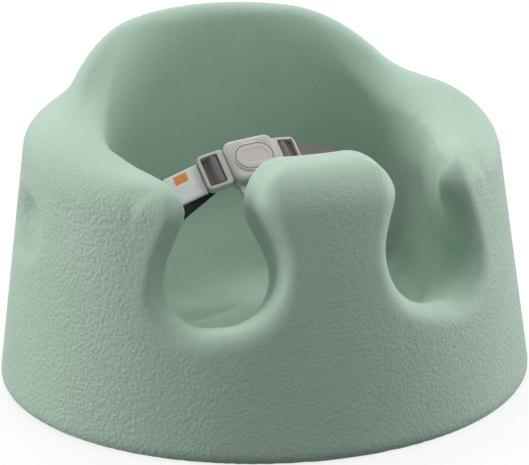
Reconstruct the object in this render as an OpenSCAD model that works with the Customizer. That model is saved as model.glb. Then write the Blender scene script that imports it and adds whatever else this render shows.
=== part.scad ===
// Baby floor seat: one thick foam tub with a high back, two leg openings and a
// pommel between them, and a three point belt with a press button buckle.
// Front of the seat is -Y, the base stands on Z = 0.

/* [Foam tub] */
// Diameter of the base
base_d = 380; // [340:1:440]
// How far the outer wall leans in for each mm of height
wall_lean = 0.136; // [0.05:0.01:0.2]
// Height of the arms beside the back
arm_h = 191; // [165:1:215]
// Height of the arms at their front tips
tip_h = 180; // [150:1:205]
// Radius of the arms' outer edge
arm_edge_r = 20; // [12:1:28]
// Radius of the edge round the base
base_edge_r = 9; // [4:1:14]

/* [Back rest] */
// Height of the back rest, before its crest is rounded
back_h = 250; // [225:1:290]
// Width of the back rest at its shoulders
back_w = 273; // [250:1:300]
// Depth of the back rest behind the middle of the seat
back_d = 154; // [140:1:170]
// How much the back rest leans in on each side for each mm of height
back_lean = 0.27; // [0.15:0.01:0.35]
// Radius of the back rest's outer edge
back_edge_r = 17; // [10:1:24]
// Radius of the hollow where the back rest meets the arms
shoulder_r = 12; // [6:1:24]

/* [Seat bowl] */
// Width of the bowl the child sits in
bowl_w = 212; // [180:1:240]
// How far the bowl sits behind the middle of the seat
bowl_back = 9; // [0:1:16]
// Height of the bowl's floor
floor_h = 62; // [50:1:75]
// Radius between the bowl's wall and its floor
bowl_floor_r = 40; // [20:1:50]
// Radius of the rim's inner edge
rim_r = 32; // [20:1:36]

/* [Leg openings and pommel] */
// Distance of each leg opening from the middle plane
leg_x = 72.5; // [66:0.5:80]
// How far the openings splay outward, in degrees
leg_splay = 7; // [0:1:15]
// Width of a leg opening
leg_w = 70; // [60:1:76]
// Height of the middle of a leg opening, at its outer end
leg_z = 127; // [118:1:134]
// Depth of a leg opening below its middle
leg_drop = 36; // [30:1:42]
// How far an opening falls toward the bowl for each mm along it
leg_fall = 0.5; // [0.2:0.05:0.6]
// How far an opening's outer side widens toward the front for each mm along it
leg_flare = 0.3; // [0:0.05:0.5]
// Width of the neck between an arm and the pommel
neck_w = 40; // [30:1:50]
// Radius of the hollows where the neck runs into the opening
neck_r = 18; // [8:1:24]
// Radius of the openings' outer edge
leg_edge_r = 14; // [8:1:20]
// Radius of the outer edge at the sill, below an opening
sill_edge_r = 22; // [14:1:26]
// Height of the pommel
pommel_h = 192; // [165:1:215]

/* [Hand scoops] */
// Length of the scoop in each side
scoop_l = 73; // [50:1:80]
// Height of the scoop
scoop_h = 50; // [40:1:70]
// Depth of the scoop into the foam
scoop_d = 15; // [6:1:17]
// Height of the middle of the scoop
scoop_z = 128; // [110:1:150]
// How far the scoop lies behind the middle of the seat
scoop_y = -2; // [-10:1:12]
// Radius of the scoop's edge
scoop_edge_r = 6; // [3:1:14]

/* [Belt] */
// Width of the webbing
web_w = 22; // [20:1:30]
// Thickness of the webbing
web_t = 1.5; // [1:0.1:2.5]
// Distance of the side belts' slots from the middle plane
side_slot_x = 82; // [70:1:86]
// Distance of the crotch belt's slot in front of the middle
crotch_slot_y = 66; // [56:1:70]
// Gap round pieces that pass through or seat in others
fit_gap = 0.3; // [0.3:0.05:0.5]

/* [Buckle] */
// Width of the buckle housing, along the belt
housing_w = 37; // [34:1:42]
// Height of the buckle housing
housing_h = 33; // [30:1:40]
// Thickness of the buckle housing
housing_t = 16; // [16:1:18]
// Wall of the housing
housing_wall = 2; // [1.6:0.1:2.4]
// Width of the press button
button_w = 25.5; // [22:0.5:26]
// Height of the press button
button_h = 19.5; // [18:0.5:22]
// Travel of the press button
button_travel = 3; // [2.8:0.1:3.2]
// Length of a tongue's frame outside the housing
tongue_l = 18.5; // [18:0.5:26]
// Thickness of a tongue's frame
tongue_t = 7; // [7:0.5:9]
// How far the tongues' frames bend back toward the child, in degrees
tongue_bend = 14; // [0:1:20]

/* [Hidden] */

foam = "#a5cbb5";
plastic = "#b9b3ae";
webbing = "#6b6864";
steel = "#c2c6c9";

// ---- foam: every form is a distance in mm, negative inside the foam ----

grid = 11.4;         // spacing of the lattice that the skin is read from
lift = 1.3;          // lattice steps below the floor, so that no crest lies near a layer
base_cut = 1;        // the base is shaped this much too deep, then cut flat
tub_top = back_h + 4;

// angles round the rim from the back, in degrees, over which its height changes
back_falls = [27, 92];
arms_fall = [74, 127];
pommel_rises = [145, 165];
back_sink = 17;      // how far below the arms' height the back rest ends
back_level = [140, 200];  // the back rest leans above the first height; its sizes hold at the second
bowl_level = 120;    // the bowl's sizes hold at this height
bowl_lean = 0.05;    // how far the bowl leans back for each mm of height
leg_front = base_d / 2 - 40;  // leg_x holds this far in front of the middle
leg_reach = 110;     // how far in from there an opening is cut
fall_span = [-60, 30];    // an opening falls evenly between these places along it
flare_from = -35;    // its outer side widens in front of this place along it
flare_soft = 12;     // length over which the widening sets in
scoop_reach = 26;    // half the thickness of the ball that cuts a scoop
// these bring the measures of leaning and oval walls close to true distances
wall_true = 0.985;
rim_true = 0.97;
back_true = [0.92, 0.85];

// both forms at once, with the edge where they meet rounded to radius r
function common(a, b, r) =
    min(max(a, b), -r) + norm([max(a + r, 0), max(b + r, 0)]);
// either form, with the corner where they meet filled to radius r
function joined(a, b, r) = -common(-a, -b, r);
// rises smoothly from 0 to 1 as v goes from a to b
function ease(v, a, b) =
    let (t = min(max((v - a) / (b - a), 0), 1)) t * t * (3 - 2 * t);

// height of the tub's rim, by the angle round from the back
function rim_height(turn) =
    arm_h + (tip_h - arm_h) * ease(turn, arms_fall[0], arms_fall[1])
    + (pommel_h - tip_h) * ease(turn, pommel_rises[0], pommel_rises[1]);
// height of the back rest, which falls to nothing inside the arms
function back_height(turn) =
    back_h - (back_h - arm_h + back_sink) * ease(turn, back_falls[0], back_falls[1]);

// how far an opening's outer side has widened, at a place along it
function flare(along) =
    let (v = max(along - flare_from, 0))
    leg_flare * (v < flare_soft ? v * v / (2 * flare_soft) : v - flare_soft / 2);

// one leg opening: an oval channel with a neck up to the rim, which falls toward the bowl
function leg_cut(x, y, z) =
    let (
        along = (x - leg_x) * sin(leg_splay) - (y + leg_front) * cos(leg_splay),
        off = (x - leg_x) * cos(leg_splay) + (y + leg_front) * sin(leg_splay),
        across = off > 0 ? max(off - flare(along), 0) : off,
        up = z - leg_z - leg_fall * min(max(along, fall_span[0]), fall_span[1]),
        oval = norm([across, up * leg_w / 2 / leg_drop]) - leg_w / 2,
        neck = norm([across, min(up, 0)]) - neck_w / 2
    )
    max(joined(oval, neck, neck_r), -along - leg_reach);

function tub(x, y, z, turn) =
    let (
        cone = (norm([x, y]) - base_d / 2 + wall_lean * z) * wall_true,
        edge_r = leg_edge_r + (sill_edge_r - leg_edge_r) * ease(leg_z - z, 0, leg_drop),
        open = common(cone, -leg_cut(x, y, z), edge_r)
    )
    common(open, (z - rim_height(turn)) * rim_true, arm_edge_r);

function back_rest(x, y, z, turn) =
    let (
        draw = back_lean * (max(z, back_level[0]) - back_level[1]),
        half = back_w / 2 - draw,
        deep = back_d - draw,
        oval = (norm([x / half, y / deep]) - 1) * half * back_true[0]
    )
    max(common(oval, (z - back_height(turn)) * back_true[1], back_edge_r), -y);

function bowl(x, y, z) =
    let (wall = norm([x, y - bowl_back - bowl_lean * (z - bowl_level)]) - bowl_w / 2)
    common(wall, floor_h - z, bowl_floor_r);

function scoop(x, y, z) =
    let (
        wall = base_d / 2 - wall_lean * scoop_z,
        across = (x - wall - scoop_reach + scoop_d) / scoop_reach,
        v = [across, (y - scoop_y) / (scoop_l / 2), (z - scoop_z) / (scoop_h / 2)]
    )
    (norm(v) - 1) * scoop_reach;

function seat(p) =
    let (
        x = abs(p.x), y = p.y, z = p.z,
        turn = atan2(x, y),
        wall = joined(tub(x, y, z, turn), back_rest(x, y, z, turn), shoulder_r),
        rim = common(wall, -bowl(x, y, z), rim_r),
        foot = common(rim, -z - base_cut, base_edge_r)
    )
    common(foot, -scoop(x, y, z), scoop_edge_r);

// ---- the skin of a form, read on a lattice and pulled onto the form ----

function sign_change(v) = min(v) < 0 && max(v) >= 0;
// the form's slope at p
function slope(p, h = 0.5) =
    [
        seat(p + [h, 0, 0]) - seat(p - [h, 0, 0]),
        seat(p + [0, h, 0]) - seat(p - [0, h, 0]),
        seat(p + [0, 0, h]) - seat(p - [0, 0, h])
    ] / (2 * h);
// p moved along the slope until it lies on the form
function settle(p, n) =
    n == 0 ? p : let (g = slope(p)) settle(p - g * (seat(p) / max(g * g, 0.2)), n - 1);

module skin() {
    nx = ceil(base_d / 2 / grid) + 1;
    nz = ceil(tub_top / grid) + 1;
    size = 2 * nx;
    // a lattice point's place; the columns lie alike on both sides of the middle
    function spot(i, j, k) = [(i - nx) * grid, (j - nx) * grid, (k - lift) * grid];
    half = [
        for (i = [0 : nx])
            [for (j = [0 : size]) [for (k = [0 : nz]) seat(spot(i + nx, j, k))]]
    ];
    function at(i, j, k) = half[abs(i - nx)][j][k];
    corners = [for (a = [0, 1], b = [0, 1], c = [0, 1]) [a, b, c]];
    function cell(i, j, k) = [for (c = corners) at(i + c[0], j + c[1], k + c[2])];
    // the heights at which each column of cells holds skin
    columns = [
        for (i = [0 : size - 1], j = [0 : size - 1])
            [for (k = [0 : nz - 1]) if (sign_change(cell(i, j, k))) k]
    ];
    starts = [
        for (n = 0, s = 0; n < len(columns); s = s + len(columns[n]), n = n + 1) s
    ];
    function point_of(i, j, k) =
        starts[i * size + j] + search(k, columns[i * size + j])[0];
    // where the form crosses a cell's edges, averaged
    edges = [for (m = [0 : 7], n = [m + 1 : 7]) if (norm(corners[m] - corners[n]) == 1) [m, n]];
    function middle(i, j, k) =
        let (
            v = cell(i, j, k),
            cuts = [
                for (e = edges)
                    let (a = v[e[0]], b = v[e[1]])
                    if ((a < 0) != (b < 0)) corners[e[0]] + (corners[e[1]] - corners[e[0]]) * (a / (a - b))
            ],
            total = [for (c = cuts) 1] * cuts
        )
        spot(i, j, k) + total / len(cuts) * grid;
    points = [
        for (i = [0 : size - 1], j = [0 : size - 1])
            for (k = columns[i * size + j]) settle(middle(i, j, k), 2)
    ];
    // two faces for each lattice edge that passes through the skin
    function patch(a, b, c, d, flip) =
        let (q = norm(points[a] - points[c]) <= norm(points[b] - points[d]) ? [a, b, c, d] : [b, c, d, a])
        flip ? [[q[2], q[1], q[0]], [q[3], q[2], q[0]]] : [[q[0], q[1], q[2]], [q[0], q[2], q[3]]];
    function crossed(a, b) = (a < 0) != (b < 0);
    faces = [
        for (i = [1 : size - 1], j = [1 : size - 1], k = [1 : nz - 1])
            let (v = at(i, j, k))
            each [
                if (i < size && crossed(v, at(i + 1, j, k)))
                    each patch(point_of(i, j - 1, k - 1), point_of(i, j, k - 1), point_of(i, j, k),
                        point_of(i, j - 1, k), v < 0),
                if (j < size && crossed(v, at(i, j + 1, k)))
                    each patch(point_of(i - 1, j, k - 1), point_of(i - 1, j, k), point_of(i, j, k),
                        point_of(i, j, k - 1), v < 0),
                if (crossed(v, at(i, j, k + 1)))
                    each patch(point_of(i - 1, j - 1, k), point_of(i, j - 1, k), point_of(i, j, k),
                        point_of(i - 1, j, k), v < 0)
            ]
    ];
    polyhedron(points, faces);
}

// ---- where the buckle hangs, and its own axes ----

buckle_at = [-14.4, -25, 161.2];
buckle_yaw = 1.6;
buckle_tilt = 42;    // laid back from upright
buckle_roll = 6.7;   // its right side is the higher one

function turn_z(p, a) = [p.x * cos(a) - p.y * sin(a), p.x * sin(a) + p.y * cos(a), p.z];
function turn_x(p, a) = [p.x, p.y * cos(a) - p.z * sin(a), p.y * sin(a) + p.z * cos(a)];
// a direction in the buckle's own axes: x along the belt, y up its face, z out of it
function aim(p) = turn_z(turn_x(turn_z(p, buckle_roll), buckle_tilt), buckle_yaw);
function placed(p) = buckle_at + aim(p);

module at_buckle() {
    translate(buckle_at) rotate([0, 0, buckle_yaw]) rotate([buckle_tilt, 0, 0])
        rotate([0, 0, buckle_roll]) children();
}

// ---- buckle sizes ----

half_w = housing_w / 2;
half_t = housing_t / 2;
corner_r = 10;                       // of the housing's outline
dome_r = 4;                          // how far its faces are rounded in
flange_out = 1.2;                    // how far the button's flange stands out round it
// the hollow holds the flange, and is wider where the housing has room
hollow_w = max(housing_w - 5, button_w + 2 * (flange_out + fit_gap));
hollow_h = housing_h - 5;
hollow_r = corner_r - 2.5;
prong_t = 2.4;                       // thickness of a tongue's prong
prong_w = 18;
prong_tip = 4.6;                     // how near the prongs come to the middle
window = [8.6, 13.6];                // from where to where each prong is open
window_w = 8;
catch = [9, 12.7];                   // the latch's teeth, inside the windows
catch_w = 7;
mouth_gap = fit_gap + 0.1;
seam = 0.15;                         // half the gap between the two covers
floor_z = -half_t + housing_wall;    // inner faces of the housing
roof_z = half_t - housing_wall;
leaf_t = 0.5;
leaf_z = -prong_t / 2 - fit_gap - leaf_t;   // underside of the latch's leaf
foot_y = hollow_h / 2 - 2 * fit_gap; // ends of the latch's legs
button_r = button_h / 2 - 0.2;       // of the button's corners
button_up = 1;                       // how far its face stands out of the housing
ring_up = 0.5;                       // how far the ring round it does
flange_t = 1.1;
flange_z = roof_z - fit_gap - flange_t;
post_y = [4.5, 7.5];                 // the button's posts, on the leaf's arms
post_w = 4;
tooth_z = leaf_z + leaf_t + button_travel - fit_gap;   // the latch's teeth clear the prongs when pressed
spring_r = 2.8;
wire_r = 0.4;
peg_h = 3;                           // of the peg that centres the spring
spring_turns = 5;
frame_in = half_w + fit_gap;         // where a tongue's frame begins
frame_h = web_w + 6;
window_in = 3.5;                     // inner bar of a tongue's frame
bar_end = 2.5;                       // outer bar of a tongue's frame
bar_r = 1.5;                         // the bar that the webbing goes round
wrap_r = bar_r + fit_gap + 0.05 + web_t / 2;
bar_x = window_in + 0.5 + wrap_r + web_t / 2;
lug_t = 3;
lug_slot = web_t + 2.1;              // the crotch belt's slot, below the housing
lug_bar = 2.4;
lug_y = -housing_h / 2 - 3.4;
lug_low = lug_y - lug_slot / 2 - lug_bar;

// flat rounded plate from true arcs
module pad(w, h, r) {
    square([w - 2 * r, h], center = true);
    square([w, h - 2 * r], center = true);
    for (x = [-1, 1], y = [-1, 1])
        translate([x * (w / 2 - r), y * (h / 2 - r)]) circle(r, $fn = 48);
}
module block(w, h, r, z0, z1) translate([0, 0, z0]) linear_extrude(z1 - z0) pad(w, h, r);
// block whose face at z1 is drawn in by e, like a moulding with a rounded edge
module domed(w, h, r, z0, z1, e) {
    hull() {
        block(w, h, r, z0, z1 - e);
        block(w - 0.6 * e, h - 0.6 * e, r - 0.3 * e, z1 - 0.4 * e, z1 - 0.35 * e);
        block(w - 2 * e, h - 2 * e, r - e, z1 - 0.05, z1);
    }
}

// both mouths that the prongs go in through
module mouths() {
    block(housing_w + 2, prong_w + 2 * mouth_gap, 1, -prong_t / 2 - mouth_gap, prong_t / 2 + mouth_gap);
}
module hollow(z0, z1) block(hollow_w, hollow_h, hollow_r, z0, z1);

module buckle_back() color(plastic) at_buckle() {
    difference() {
        union() {
            mirror([0, 0, 1]) domed(housing_w, housing_h, corner_r, seam, half_t, dome_r);
            // the lug below, with the crotch belt's slot
            translate([0, lug_low + 6, 0]) block(web_w + 7, 12, 3, -lug_t - seam, -seam);
        }
        hollow(floor_z, 1);
        mouths();
        translate([0, lug_y, 0]) block(web_w + 1.5, lug_slot, 1, -half_t, 1);
    }
    // peg that centres the coil spring
    translate([0, 0, floor_z - 0.2]) cylinder(r = spring_r - wire_r - fit_gap, h = peg_h, $fn = 32);
}

module buckle_front() color(plastic) at_buckle() {
    difference() {
        union() {
            domed(housing_w, housing_h, corner_r, seam, half_t, dome_r);
            // raised ring round the button
            block(button_w + 3.4, button_h + 3.4, button_r + 1.7, half_t - 2, half_t + ring_up);
        }
        hollow(-1, roof_z);
        mouths();
        block(button_w + 2 * fit_gap, button_h + 2 * fit_gap, button_r + fit_gap, 0, half_t + 2);
    }
}

module release_button() color(plastic) at_buckle() {
    domed(button_w, button_h, button_r, flange_z, half_t + button_up, 0.9);
    block(button_w + 2 * flange_out, button_h + 2 * flange_out, button_r + flange_out,
        flange_z, flange_z + flange_t);
    // the two posts that push the latch's leaf down, between the tongues
    for (side = [-1, 1])
        translate([0, side * (post_y[0] + post_y[1]) / 2, 0])
            block(post_w, post_y[1] - post_y[0], 0.8, leaf_z + leaf_t + fit_gap, flange_z + 0.2);
}

// a helix of round wire
module coil(r, wire, h, turns) {
    steps = turns * 10;
    sides = 6;
    rings = [
        for (n = [0 : steps])
            let (a = n / 10 * 360, out = [cos(a), sin(a), 0], c = r * out + [0, 0, n / steps * h])
            for (m = [0 : sides - 1]) c + wire * (cos(m * 360 / sides) * out + [0, 0, sin(m * 360 / sides)])
    ];
    polyhedron(rings, tube_faces(steps, sides));
}
function tube_faces(steps, sides) = [
    for (n = [0 : steps - 1], m = [0 : sides - 1])
        let (a = n * sides + m, b = n * sides + (m + 1) % sides)
        each [[a, a + sides, b + sides], [a, b + sides, b]],
    for (m = [1 : sides - 2]) [0, m, m + 1],
    for (m = [1 : sides - 2]) let (e = steps * sides) [e, e + m + 1, e + m]
];

module button_spring() color(steel) at_buckle() {
    low = floor_z + wire_r + 0.1;
    translate([0, 0, low]) coil(spring_r, wire_r, flange_z - 0.1 - wire_r - low, spring_turns);
}

// half the profile of the leaf across the belt, with a leg that springs off the floor
function leg_side(s) = [
    [s * 7.8, leaf_z], [s * (foot_y - 1.6), floor_z + 0.1], [s * foot_y, floor_z + 0.1],
    [s * foot_y, floor_z + 0.1 + leaf_t], [s * (foot_y - 1.3), floor_z + 0.1 + leaf_t],
    [s * 8, leaf_z + leaf_t]
];
// a tooth, sloped on the side that a prong comes in from
function tooth_side(s) = [
    [s * catch[0], leaf_z], [s * catch[1], leaf_z], [s * catch[1], leaf_z + leaf_t + 0.4],
    [s * (catch[0] + 1), tooth_z], [s * catch[0], tooth_z]
];
// steel leaf under the prongs: two teeth stand up in their windows, two legs carry it
module latch_spring() color(steel) at_buckle() {
    difference() {
        translate([0, 0, leaf_z]) linear_extrude(leaf_t) {
            square([2 * catch[1], catch_w], center = true);
            square([11, 16], center = true);
        }
        translate([0, 0, leaf_z - 1]) cylinder(r = spring_r + wire_r + fit_gap, h = 3, $fn = 32);
    }
    for (s = [-1, 1]) {
        rotate([90, 0, 90]) linear_extrude(9, center = true) polygon(leg_side(s));
        rotate([90, 0, 0]) linear_extrude(catch_w, center = true) polygon(tooth_side(s));
    }
}

// a place on a tongue's bent frame, x out from the housing and z up, in the buckle's axes
function bent(p) = [
    frame_in + p.x * cos(tongue_bend) + p.y * sin(tongue_bend),
    p.y * cos(tongue_bend) - p.x * sin(tongue_bend)
];
module at_frame() translate([frame_in, 0, 0]) rotate([0, tongue_bend, 0]) children();

module tongue_frame() {
    back = 2;                        // reaches in past the bend, then is cut off square
    long = tongue_l + back;
    mid = tongue_l / 2 - back / 2;
    open = tongue_l - bar_end - window_in;
    difference() {
        hull() {
            translate([mid, 0, 0]) block(long, frame_h, 4, -tongue_t / 2 + 1, tongue_t / 2 - 1);
            translate([mid, 0, 0]) block(long - 1.6, frame_h - 1.6, 3.2, -tongue_t / 2, tongue_t / 2);
        }
        // window for the webbing, which leaves under the outer bar
        translate([window_in + open / 2, 0, 0]) block(open, web_w + 1, 1.2, -tongue_t, tongue_t);
        translate([tongue_l, 0, 0]) block(2 * bar_end + 2, web_w + 1, 1, -tongue_t, fit_gap + 0.1);
    }
    translate([bar_x, 0, 0]) rotate([90, 0, 0])
        cylinder(r = bar_r, h = frame_h - 3, center = true, $fn = 32);
}
// a tongue in the buckle's axes, pointing out along +x
module tongue() {
    reach = frame_in + 1 - prong_tip;
    difference() {
        at_frame() tongue_frame();
        translate([frame_in - 20, 0, 0]) cube([40, 2 * frame_h, 4 * tongue_t], center = true);
    }
    difference() {
        translate([prong_tip + reach / 2, 0, 0]) block(reach, prong_w, 2, -prong_t / 2, prong_t / 2);
        translate([(window[0] + window[1]) / 2, 0, 0])
            block(window[1] - window[0], window_w, 0.8, -tongue_t, tongue_t);
    }
}
module right_tongue() color(plastic) at_buckle() tongue();
module left_tongue() color(plastic) at_buckle() mirror([1, 0, 0]) tongue();

// ---- webbing: a flat strip swept along a path of points with its width along "across" ----

function unit(v) = v / norm(v);
function tangent(path, n) = unit(path[min(n + 1, len(path) - 1)] - path[max(n - 1, 0)]);
function square_to(v, t) = unit(v - t * (v * t));
module strip(path, across, w, t) {
    rings = [
        for (n = [0 : len(path) - 1])
            let (d = tangent(path, n), a = square_to(across[n], d) * w / 2, b = unit(cross(d, a)) * t / 2)
            each [path[n] - a - b, path[n] + a - b, path[n] + a + b, path[n] - a + b]
    ];
    polyhedron(rings, tube_faces(len(path) - 1, 4));
}
function curve(p, q, t) =
    (1 - t) ^ 3 * p[0] + 3 * (1 - t) ^ 2 * t * p[1] + 3 * (1 - t) * t ^ 2 * q[1] + t ^ 3 * q[0];

plate = [42, 26, 4];                 // an anchor plate, under the foam
recess_h = 10;                       // depth of its recess
hem_z = recess_h - fit_gap - plate.z - fit_gap - 0.1 - web_t / 2;
slot_top = floor_h + 6;
belt_steps = 14;
lap = web_t + fit_gap + 0.05;        // from one layer of webbing to the next

// up from the hem under an anchor plate to the top of the slot, leaning over to "side"
function rise(x, y, side) = [
    [x, y, hem_z] - side * 9, [x, y, hem_z] - side * 6, [x, y, hem_z] - side * 3,
    [x, y, hem_z + 0.9] - side * 0.9, [x, y, hem_z + 3], [x, y, recess_h + 10], [x, y, slot_top]
];

// a side belt: s is -1 on the left and 1 on the right; "drop" is how steeply it leaves
// the bar, in degrees from the frame, and "lean" how far it then leans down and reaches
// out; it climbs "climb" mm straight up from its slot; its tail ends "tail" mm past the
// frame and hangs by "droop" degrees, from "sink" mm lower
tail_z = -wrap_r + lap;
tail_in = 4;                         // the tail is straight from here, inside the frame
function tail_spot(v, droop, sink) = [tongue_l - tail_in, tail_z - sink] + v * [cos(droop), -sin(droop)];
function round_bar(a) = [bar_x + wrap_r * cos(a), wrap_r * sin(a)];
function side_path(s, drop, lean, climb, tail, droop, sink) =
    let (
        start = [s * side_slot_x, 0, slot_top],
        away = [cos(drop), -sin(drop)],
        off = [bar_x, 0] + wrap_r * [-sin(drop), -cos(drop)] + 5 * away,
        first = bent(off),
        far = bent(off + lean.y * away),
        end = placed([s * first.x, 0, first.y]),
        low = [start, start + [s * 2, 0, climb]],
        high = [end, placed([s * far.x, lean.x, far.y])],
        free = [for (n = [1 : belt_steps]) curve(low, high, n / belt_steps)],
        loop = [
            for (n = [0 : 5]) round_bar(-90 - drop - n / 5 * (180 - drop)),
            for (a = [65, 35]) round_bar(a),
            [bar_x + wrap_r + 0.9, tail_z + 1.1 - sink / 3],
            [bar_x + wrap_r + 2.2, tail_z + 0.15 - sink * 0.7],
            for (n = [0 : 5]) tail_spot(n / 5 * (tail + tail_in), droop, sink)
        ]
    )
    concat(
        rise(s * side_slot_x, 0, [s, 0, 0]), free,
        [for (p = loop) let (q = bent(p)) placed([s * q.x, 0, q.y])]
    );
function side_across(path) =
    [
        for (n = [0 : len(path) - 1])
            let (f = ease(n, 7, 6 + belt_steps)) (1 - f) * [0, 1, 0] + f * aim([0, 1, 0])
    ];
module side_strap(path) strip(path, side_across(path), web_w, web_t);

left_drop = 34;
left_lean = [-6, 24];
left_climb = 50;
left_tail = 27;
left_droop = 14;
left_sink = 2;
right_drop = 1;
right_lean = [5, 62];
right_climb = 84;
right_tail = 14;
label_l = 24;
label_t = 0.5;
module left_strap() color(webbing)
    side_strap(side_path(-1, left_drop, left_lean, left_climb, left_tail, left_droop, left_sink));
module right_strap() color(webbing)
    side_strap(side_path(1, right_drop, right_lean, right_climb, right_tail, 0, 0));

// sewn sleeve on the left tail
module strap_label() color("white") at_buckle() mirror([1, 0, 0]) at_frame()
    translate([tongue_l - tail_in, 0, tail_z - left_sink]) rotate([0, left_droop, 0])
        translate([tail_in + 2 + label_l / 2, 0, web_t / 2 + fit_gap + 0.05 + label_t / 2])
            cube([label_l, web_w + 1, label_t], center = true);

module crotch_strap() color(webbing) {
    start = [0, -crotch_slot_y, slot_top];
    pin = [lug_low + lug_bar / 2, -lug_t / 2 - seam];
    turn_r = norm([lug_t, lug_bar]) / 2 + 0.1 + web_t / 2;
    end = placed([0, pin[0] - 8, pin[1] - turn_r]);
    free = [
        for (n = [1 : belt_steps])
            curve([start, start + [0, 0, 26]], [end, end + aim([0, -22, -2])], n / belt_steps)
    ];
    loop = [
        [pin[0] - 2, pin[1] - turn_r],
        for (a = [-90 : 30 : 90]) [pin[0] + turn_r * cos(a), pin[1] + turn_r * sin(a)],
        [pin[0] - 3, pin[1] + turn_r - 0.6], [pin[0] - 6, pin[1] - turn_r + lap + 0.6]
    ];
    back = [for (n = [1 : 3]) free[belt_steps - n] + aim([0, 0, lap])];
    round_lug = [for (p = loop) placed([0, p[0], p[1]])];
    path = concat(rise(0, -crotch_slot_y, [0, -1, 0]), free, round_lug, back);
    across = [
        for (n = [0 : len(path) - 1])
            let (f = ease(n, 7, 6 + belt_steps)) (1 - f) * [1, 0, 0] + f * aim([1, 0, 0])
    ];
    strip(path, across, web_w, web_t);
}

// ---- anchors, and what the foam is cut for ----

module at_slot(name) {
    if (name == "crotch") translate([0, -crotch_slot_y, 0]) children();
    else translate([name == "left" ? -side_slot_x : side_slot_x, 0, 0]) rotate([0, 0, 90]) children();
}
module anchor(name) color(plastic) at_slot(name) {
    top = recess_h - fit_gap;
    difference() {
        union() {
            block(plate.x, plate.y, 5, top - plate.z, top);
            // stiffening lip round the plate's edge
            difference() {
                block(plate.x, plate.y, 5, top - plate.z - 1.6, top - plate.z + 1);
                block(plate.x - 4, plate.y - 4, 3, top - plate.z - 2, top - plate.z);
            }
        }
        block(web_w + 2, web_t + 4, 1, 0, top + 1);
    }
}
module left_anchor() anchor("left");
module right_anchor() anchor("right");
module crotch_anchor() anchor("crotch");

module slot_shape(l, r, z0, z1) {
    hull() for (x = [-1, 1]) translate([x * (l / 2 - r), 0, z0]) cylinder(r = r, h = z1 - z0, $fn = 16);
}
module foam_cuts(name) at_slot(name) {
    gap = web_t / 2 + 0.6;
    slot_shape(web_w + 2.4, gap, -2, floor_h + 30);
    // the slot opens out where the webbing leaves the floor
    hull() for (x = [-1, 1]) translate([x * (web_w / 2 + 1.2 - gap), 0, floor_h - 6])
        cylinder(r1 = gap, r2 = gap + 4, h = 16, $fn = 16);
    hull() for (x = [-1, 1], y = [-1, 1])
        translate([x * (plate.x / 2 + fit_gap - 5), y * (plate.y / 2 + fit_gap - 5), -2])
            cylinder(r = 5, h = recess_h + 2, $fn = 24);
}

module seat_body() color(foam) {
    difference() {
        skin();
        translate([0, 0, -20]) cube([2 * base_d, 2 * base_d, 40], center = true);
        foam_cuts("left");
        foam_cuts("right");
        foam_cuts("crotch");
    }
}

seat_body();
buckle_back();
buckle_front();
release_button();
button_spring();
latch_spring();
left_tongue();
right_tongue();
left_strap();
right_strap();
crotch_strap();
strap_label();
left_anchor();
right_anchor();
crotch_anchor();
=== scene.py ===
import math

import bmesh
import bpy
import numpy as np
from mathutils import Matrix, Vector


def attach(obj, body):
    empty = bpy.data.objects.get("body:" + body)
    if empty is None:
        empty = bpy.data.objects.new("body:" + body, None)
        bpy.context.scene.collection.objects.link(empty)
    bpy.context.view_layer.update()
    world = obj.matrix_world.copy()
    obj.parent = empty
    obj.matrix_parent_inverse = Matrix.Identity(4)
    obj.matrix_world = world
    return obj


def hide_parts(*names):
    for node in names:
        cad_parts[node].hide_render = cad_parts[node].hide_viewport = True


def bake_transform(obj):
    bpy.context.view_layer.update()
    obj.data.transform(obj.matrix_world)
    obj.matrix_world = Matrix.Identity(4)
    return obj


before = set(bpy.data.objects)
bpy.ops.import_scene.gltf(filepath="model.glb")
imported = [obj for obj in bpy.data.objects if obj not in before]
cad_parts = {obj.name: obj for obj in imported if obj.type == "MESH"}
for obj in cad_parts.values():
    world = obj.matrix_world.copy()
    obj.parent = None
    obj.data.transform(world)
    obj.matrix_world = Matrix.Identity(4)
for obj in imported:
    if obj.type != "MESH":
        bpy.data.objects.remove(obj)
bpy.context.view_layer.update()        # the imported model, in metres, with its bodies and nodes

scene = bpy.context.scene
mm = 0.001               # pieces are modelled in millimetres, then placed in metres
inMetres = Matrix.Scale(mm, 4)


# shader writing

# an output of a node, which takes part in plain Python maths
class Wire:
    def __init__(self, recipe, socket):
        self.recipe = recipe
        self.socket = socket

    def maths(self, operation, first, second=0.0):
        return self.recipe.node("ShaderNodeMath", {"operation": operation}, {0: first, 1: second})

    def __add__(self, other):
        return self.maths("ADD", self, other)

    def __sub__(self, other):
        return self.maths("SUBTRACT", self, other)

    def __rsub__(self, other):
        return self.maths("SUBTRACT", other, self)

    def __mul__(self, other):
        return self.maths("MULTIPLY", self, other)

    __radd__ = __add__

    def sine(self):
        return self.maths("SINE", self)

    def size(self):
        return self.maths("ABSOLUTE", self)

    # 0 below low, 1 above high, smooth between them
    def between(self, low, high):
        return self.recipe.node(
            "ShaderNodeMapRange",
            {"interpolation_type": "SMOOTHSTEP"},
            {"Value": self, "From Min": low, "From Max": high},
        )


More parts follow.
